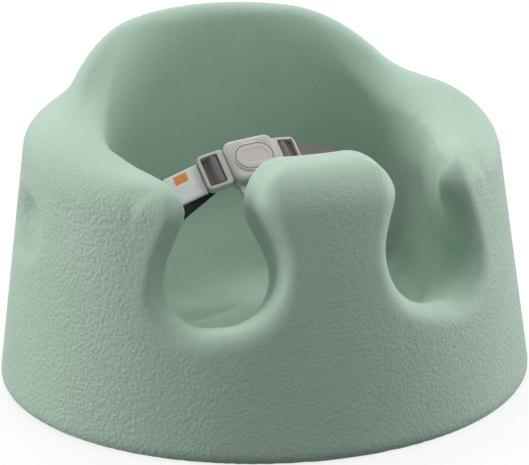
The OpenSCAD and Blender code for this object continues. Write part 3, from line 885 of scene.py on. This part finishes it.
def sideRoute(b):
    side = b["side"]
    start = np.array([side * slots["sideAt"], 0, belts["slotTop"]], float)
    dropped = math.radians(b["drop"])
    away = np.array([math.cos(dropped), -math.sin(dropped)])
    off = np.array([barAt, 0]) + barRadius * np.array([-math.sin(dropped), -math.cos(dropped)]) + 5 * away
    first = bent(off)
    far = bent(off + b["lean"][1] * away)
    end = placed([side * first[0], 0, first[1]])
    reachTo = placed([side * far[0], b["lean"][0], far[1]])
    steps = belts["steps"]
    free = [
        curve((start, start + np.array([side * 2, 0, b["climb"]])), (end, reachTo), n / steps)
        for n in range(1, steps + 1)
    ]
    # under and round the bar, and down onto the frame's end
    loop = []
    for degrees in [-90 - b["drop"] - n / 5 * (180 - b["drop"]) for n in range(6)] + [65, 35]:
        a = math.radians(degrees)
        loop.append((barAt + barRadius * math.cos(a), barRadius * math.sin(a)))
    loop.append((barAt + barRadius + 0.9, tailZ + 1.1 - b["sink"] / 3))
    loop.append((barAt + barRadius + 2.2, tailZ + 0.15 - b["sink"] * 0.7))
    droop = math.radians(b["droop"])
    for n in range(6):
        v = n / 5 * (b["tail"] + tailIn)
        loop.append((
            buckle["frameLength"] - tailIn + v * math.cos(droop),
            tailZ - b["sink"] - v * math.sin(droop),
        ))
    route = rise(side * slots["sideAt"], 0, (side, 0, 0)) + free
    route += [placed([side * x, 0, z]) for x, z in map(bent, loop)]
    shares = ease(np.arange(len(route)), 7, 6 + steps)
    across = [(1 - f) * np.array([0, 1.0, 0]) + f * aimed([0, 1, 0]) for f in shares]
    return route, across


def crotchRoute():
    start = np.array([0, -slots["frontAt"], belts["slotTop"]], float)
    # the belt turns round the lug's outer bar
    pin = (lugLow + buckle["lugBar"] / 2, -buckle["lugThick"] / 2 - buckle["seam"])
    turnR = math.hypot(buckle["lugThick"], buckle["lugBar"]) / 2 + 0.1 + webbing["thick"] / 2
    end = placed([0, pin[0] - 8, pin[1] - turnR])
    steps = belts["steps"]
    free = [
        curve((start, start + np.array([0, 0, 26])), (end, end + aimed([0, -22, -2])), n / steps)
        for n in range(1, steps + 1)
    ]
    loop = [(pin[0] - 2, pin[1] - turnR)]
    for degrees in range(-90, 91, 30):
        a = math.radians(degrees)
        loop.append((pin[0] + turnR * math.cos(a), pin[1] + turnR * math.sin(a)))
    loop += [(pin[0] - 3, pin[1] + turnR - 0.6), (pin[0] - 6, pin[1] - turnR + lap + 0.6)]
    back = [free[steps - 1 - n] + aimed([0, 0, lap]) for n in range(1, 4)]
    route = rise(0, -slots["frontAt"], (0, -1, 0)) + free
    route += [placed([0, p[0], p[1]]) for p in loop] + back
    shares = ease(np.arange(len(route)), 7, 6 + steps)
    across = [(1 - f) * np.array([1.0, 0, 0]) + f * aimed([1, 0, 0]) for f in shares]
    return route, across


# a smooth curve through the route's points, at even steps along it
def evenly(route, across, step):
    spots, wide = np.array(route), np.array(across)
    dense, sides, share = [], [], np.linspace(0, 1, 12, endpoint=False)[:, None]
    last = len(spots) - 1
    for n in range(last):
        a, b, c, d = (spots[min(max(n + k, 0), last)] for k in (-1, 0, 1, 2))
        dense.append(0.5 * (
            2 * b + (c - a) * share + (2 * a - 5 * b + 4 * c - d) * share ** 2
            + (3 * b - a - 3 * c + d) * share ** 3
        ))
        sides.append(wide[n] * (1 - share) + wide[n + 1] * share)
    dense = np.vstack(dense + [spots[-1:]])
    sides = np.vstack(sides + [wide[-1:]])
    lengths = np.concatenate([[0], np.cumsum(np.linalg.norm(np.diff(dense, axis=0), axis=1))])
    marks = np.linspace(0, lengths[-1], int(lengths[-1] / step) + 1)
    spots, wide = (
        np.stack([np.interp(marks, lengths, table[:, k]) for k in range(3)], axis=1)
        for table in (dense, sides)
    )
    return marks, spots, wide


def unit(rows):
    return rows / np.linalg.norm(rows, axis=1, keepdims=True)


def buildWebbing(name, route, across):
    w = webbing
    marks, spots, sides = evenly(route, across, w["step"])
    ahead = unit(np.gradient(spots, axis=0))
    sides = unit(sides - ahead * (sides * ahead).sum(1, keepdims=True))
    faces = np.cross(ahead, sides)
    rows = len(marks) - 1
    work = bmesh.new()
    work.loops.layers.uv.new("cloth")
    bmesh.ops.create_grid(work, x_segments=w["columns"], y_segments=rows, size=1.0, calc_uvs=True)
    layer = work.loops.layers.uv["cloth"]
    for vert in work.verts:
        column = round((vert.co.x + 1) / 2 * w["columns"])
        row = round((vert.co.y + 1) / 2 * rows)
        vert.index = row * (w["columns"] + 1) + column
    grid = {}
    for vert in work.verts:
        row, column = divmod(vert.index, w["columns"] + 1)
        share = column / w["columns"] * 2 - 1
        # over and under threads stand out in turn; the selvedges stay flat
        inner = 1 < column < w["columns"] - 1
        lift = w["relief"] * (1 if (row // 2 + column // 2) % 2 else -1) * inner
        spot = spots[row] + sides[row] * share * w["width"] / 2 + faces[row] * (lift - w["thick"] / 2)
        vert.co = spot
        grid[vert] = (share * w["width"] / 2 * mm, marks[row] * mm)
    for face in work.faces:
        for loop in face.loops:
            loop[layer].uv = grid[loop.vert]
    mesh = bpy.data.meshes.new(name)
    work.normal_update()
    work.to_mesh(mesh)
    work.free()
    belt = bpy.data.objects.new(name, mesh)
    scene.collection.objects.link(belt)
    modifier(belt, "SOLIDIFY", thickness=w["thick"], offset=-1.0, use_even_offset=False)
    edged(belt, 0.4, 3, 50)
    applied(belt)
    belt.data.transform(inMetres)
    return smoothShaded(belt, 50)


# a row of stitches: each a short fat thread that dips in at both ends
def buildStitches(name, rowsOfSpots, where):
    work = bmesh.new()
    for start, end, count in rowsOfSpots:
        start, end = Vector(start), Vector(end)
        ahead = (end - start).normalized()
        length = (end - start).length / count
        turned = ahead.to_track_quat("X", "Z").to_matrix().to_4x4()
        for n in range(count):
            spot = start + (end - start) * (n + 0.5) / count
            bmesh.ops.create_uvsphere(
                work, u_segments=6, v_segments=5, radius=1.0,
                matrix=Matrix.Translation(spot) @ turned @ Matrix.Diagonal((length * 0.4, 0.22, 0.17, 1)),
            )
    thread = newObject(name, work)
    thread.data.transform(where)
    return smoothShaded(thread, 60)


# the sleeve's own axes: x along the left tail, z up off the webbing
def atSleeve():
    droop = belts["left"]["droop"]
    return (
        atBuckle @ Matrix.Scale(-1, 4, (1, 0, 0)) @ shift(frameIn, 0, 0)
        @ Matrix.Rotation(math.radians(buckle["bend"]), 4, "Y")
        @ shift(buckle["frameLength"] - tailIn, 0, tailZ - belts["left"]["sink"])
        @ Matrix.Rotation(math.radians(droop), 4, "Y")
        @ shift(tailIn + 2 + label["length"] / 2 - 2 * label["nearer"], 0, 0)
    )


def buildLabel():
    long, wide, thick = label["length"], label["width"], label["thick"]
    tall = webbing["thick"] + 2 * buckle["gap"]
    work = bmesh.new()
    bmesh.ops.create_cube(work, size=1.0)
    bmesh.ops.scale(work, vec=(long, wide, tall), verts=work.verts)
    ends = [f for f in work.faces if abs(f.normal.x) > 0.9]
    bmesh.ops.delete(work, geom=ends, context="FACES_ONLY")
    lengthwise = [e for e in work.edges if abs(e.verts[0].co.x - e.verts[1].co.x) > long / 2]
    bmesh.ops.bevel(
        work, geom=lengthwise, offset=tall * 0.45, offset_type="OFFSET", segments=5,
        profile=0.5, affect="EDGES", material=-1,
    )
    lengthwise = [e for e in work.edges if abs(e.verts[0].co.x - e.verts[1].co.x) > long / 2]
    bmesh.ops.subdivide_edges(work, edges=lengthwise, cuts=label["cuts"][0], use_grid_fill=True)
    around = [e for e in work.edges if abs(e.verts[0].co.y - e.verts[1].co.y) > wide / 2]
    bmesh.ops.subdivide_edges(work, edges=around, cuts=label["cuts"][1], use_grid_fill=True)
    # the cloth lies a little loose between its sewn ends
    for vert in work.verts:
        x, y, z = vert.co
        loose = math.cos(math.pi * x / long) * math.cos(math.pi * y / wide)
        lift = loose * (label["loose"] + label["wrinkle"] * math.sin(1.1 * x + 0.4 * y))
        vert.co.z += lift * (1 if z > 0 else -0.2)
    layer = work.loops.layers.uv.new("cloth")
    for face in work.faces:
        for loop in face.loops:
            loop[layer].uv = (loop.vert.co.y * mm, loop.vert.co.x * mm)
    sleeve = newObject("label_sleeve", work)
    modifier(sleeve, "SOLIDIFY", thickness=thick, offset=1.0)
    edged(sleeve, 0.12, 2, 50)
    applied(sleeve)
    sleeve.data.transform(atSleeve())
    sleeve.data.flip_normals()
    return smoothShaded(sleeve, 50)


# everything is made here, piece by piece

foam = buildFoam()
dressed(foam, foamFinish())
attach(foam, "seat")
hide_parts("seat_body")
print("foam seat:", len(foam.data.polygons), "faces")

greyPlastic = plasticFinish("grey plastic", tint(190, 184, 180), tint(202, 197, 193), 0.46)
underPlastic = plasticFinish("anchor plastic", tint(150, 146, 143), tint(172, 168, 165), 0.55)
buckleParts = [
    (buildFrontCover(), "seat", "buckle_front"),
    (buildBackCover(), "seat", "buckle_back"),
    (buildButton(), "button", "release_button"),
    (buildTongue("tongue_left", -1), "left_tongue", "left_tongue"),
    (buildTongue("tongue_right", 1), "right_tongue", "right_tongue"),
]
for part, body, node in buckleParts:
    smoothShaded(part, 180)
    dressed(part, greyPlastic)
    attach(part, body)
    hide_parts(node)
print("buckle:", [len(part.data.polygons) for part, _, _ in buckleParts])

beltLook = webbingFinish("belt webbing", tint(134, 129, 124), tint(80, 77, 74))
# the near-black look is painted shade on the webbing, worn by the left and the crotch belts; along the
# webbing it gives way to the webbing's own pale colour at the left belt's bar
leftRoute = sideRoute(belts["left"])
loopFrom = evenly(*leftRoute, webbing["step"])[0][-1] - 46
print("left belt turns pale at", round(loopFrom, 1), "mm")
# painted shade: the webbing drawn near-black up to the left belt's bar
shadedBeltLook = webbingFinish(
    "belt webbing in painted shade", tint(34, 33, 32), tint(12, 11, 11), (loopFrom * mm, (loopFrom + 3) * mm)
)
leftBelt = dressed(buildWebbing("belt_left", *leftRoute), shadedBeltLook)
rightBelt = dressed(buildWebbing("belt_right", *sideRoute(belts["right"])), beltLook)
# the crotch belt wears the same painted shade
crotchBelt = dressed(buildWebbing("belt_crotch", *crotchRoute()), shadedBeltLook)
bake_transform(leftBelt)
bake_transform(rightBelt)
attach(crotchBelt, "seat")
for belt, node in ((leftBelt, "left_strap"), (rightBelt, "right_strap"), (crotchBelt, "crotch_strap")):
    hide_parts(node)
print("belts:", [len(belt.data.polygons) for belt in (leftBelt, rightBelt, crotchBelt)])

sleeve = dressed(buildLabel(), labelFinish())
topZ = webbing["thick"] / 2 + buckle["gap"] + label["thick"] + 0.02
stitchRows = [
    ((x, -label["width"] / 2 + 1, topZ), (x, label["width"] / 2 - 1, topZ), 9)
    for x in (-label["length"] / 2 + label["seam"], label["length"] / 2 - label["seam"])
]
labelThread = dressed(buildStitches("label_stitches", stitchRows, atSleeve()), threadFinish())
for piece in (sleeve, labelThread):
    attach(piece, "left_tongue")
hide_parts("strap_label")

steel = steelFinish()
steelParts = [
    (buildCoil(), "button_spring", coil["low"], coil["high"]),
    (buildLeaf(), "latch_spring", leaf["foot"], leaf["plane"]),
]
for part, node, low, high in steelParts:
    dressed(part, steel)
    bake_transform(part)
    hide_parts(node)
print("springs:", [len(part.data.polygons) for part, _, _, _ in steelParts])

for node in ("left_anchor", "right_anchor", "crotch_anchor"):
    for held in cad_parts[node].material_slots:
        held.material = underPlastic
print("label and anchors done")


# floor, light and camera

studio = {
    # as light sees it, and as the camera does
    "floor": tint(74, 74, 73), "floorSeen": (0.97, 0.97, 0.97, 1.0), "floorWhite": 0.8,
    "sky": (0.97, 0.98, 1.0, 1.0), "worldLight": 0.5, "white": (1.0, 1.0, 1.0, 1.0),
    "aimedAt": (0, 0, 0.11),
    # name, place, size in metres, watts
    "lamps": (
        ("back", (0.1, 0.9, 1.8), 1.3, 15.5),
        ("front", (0.9, -1.0, 1.9), 1.0, 9.5),
        ("left", (-1.8, 0.5, 0.42), 0.6, 20.5),
        ("right", (1.9, 0.05, 0.45), 0.8, 17.5),
    ),
}


# 1 for rays that come straight from the camera, or by a reflection or a clear surface
def seenRays(recipe):
    path = recipe.node("ShaderNodeLightPath", output="Is Camera Ray")
    outputs = path.socket.node.outputs
    return path + Wire(recipe, outputs["Is Glossy Ray"]) + Wire(recipe, outputs["Is Transmission Ray"])


def mixedShader(recipe, share, first, second):
    return recipe.node("ShaderNodeMixShader", inputs={0: share, 1: first, 2: second})


def buildFloor():
    work = bmesh.new()
    bmesh.ops.create_grid(work, x_segments=2, y_segments=2, size=7.0)
    bmesh.ops.translate(work, vec=(0, 0, -0.0003), verts=work.verts)
    floor = newObject("floor", work)
    recipe = materialRecipe("studio floor")
    matt = recipe.node("ShaderNodeBsdfDiffuse", inputs={"Color": studio["floor"]})
    pale = recipe.node("ShaderNodeBsdfDiffuse", inputs={"Color": studio["floorSeen"]})
    white = recipe.node("ShaderNodeEmission", inputs={"Strength": 1.0})
    shown = mixedShader(recipe, studio["floorWhite"], pale, white)
    dressed(floor, recipe.output("Material", mixedShader(recipe, seenRays(recipe), matt, shown)))


def buildWorld():
    scene.world = bpy.data.worlds.new("studio")
    recipe = Recipe(scene.world)
    shade, white = (
        recipe.node("ShaderNodeBackground", inputs={"Color": colour, "Strength": strength})
        for colour, strength in ((studio["sky"], studio["worldLight"]), (studio["white"], 1.0))
    )
    recipe.output("World", mixedShader(recipe, seenRays(recipe), shade, white))


def buildLamps():
    middle = Vector(studio["aimedAt"])
    for name, spot, size, watts in studio["lamps"]:
        lamp = bpy.data.lights.new(name, "AREA")
        lamp.shape = "DISK"
        lamp.size = size
        lamp.energy = watts
        held = bpy.data.objects.new(name, lamp)
        held.location = spot
        held.rotation_mode = "QUATERNION"
        held.rotation_quaternion = (middle - Vector(spot)).to_track_quat("-Z", "Y")
        scene.collection.objects.link(held)


# the camera that fits the photograph: angles in degrees, lengths in pixels, in m and in mm
view = {
    "azimuth": -17.089, "elevation": 18.05, "roll": -0.928,
    "focalPixels": 2814, "widthPixels": 529, "sensor": 36,
    "distance": 2.0, "aside": 1.543, "height": 100.408,
}


def buildCamera():
    turn = math.radians(view["azimuth"])
    rise = math.radians(view["elevation"])
    roll = math.radians(view["roll"])
    back = Vector((math.sin(turn) * math.cos(rise), -math.cos(turn) * math.cos(rise), math.sin(rise)))
    right = Vector((math.cos(turn), math.sin(turn), 0))
    up = back.cross(right)
    target = right * view["aside"] * mm + Vector((0, 0, view["height"] * mm))
    right, up = (
        right * math.cos(roll) + up * math.sin(roll),
        up * math.cos(roll) - right * math.sin(roll),
    )
    lens = bpy.data.cameras.new("camera")
    lens.sensor_width = view["sensor"]
    lens.lens = view["focalPixels"] / view["widthPixels"] * view["sensor"]
    lens.clip_start = 0.05
    lens.clip_end = 50
    camera = bpy.data.objects.new("camera", lens)
    turned = Matrix((right, up, back)).transposed().to_4x4()
    camera.matrix_world = Matrix.Translation(target + back * view["distance"]) @ turned
    scene.collection.objects.link(camera)
    scene.camera = camera


buildFloor()
buildWorld()
buildLamps()
buildCamera()
scene.view_settings.view_transform = "Standard"
print("floor, lamps and camera done")
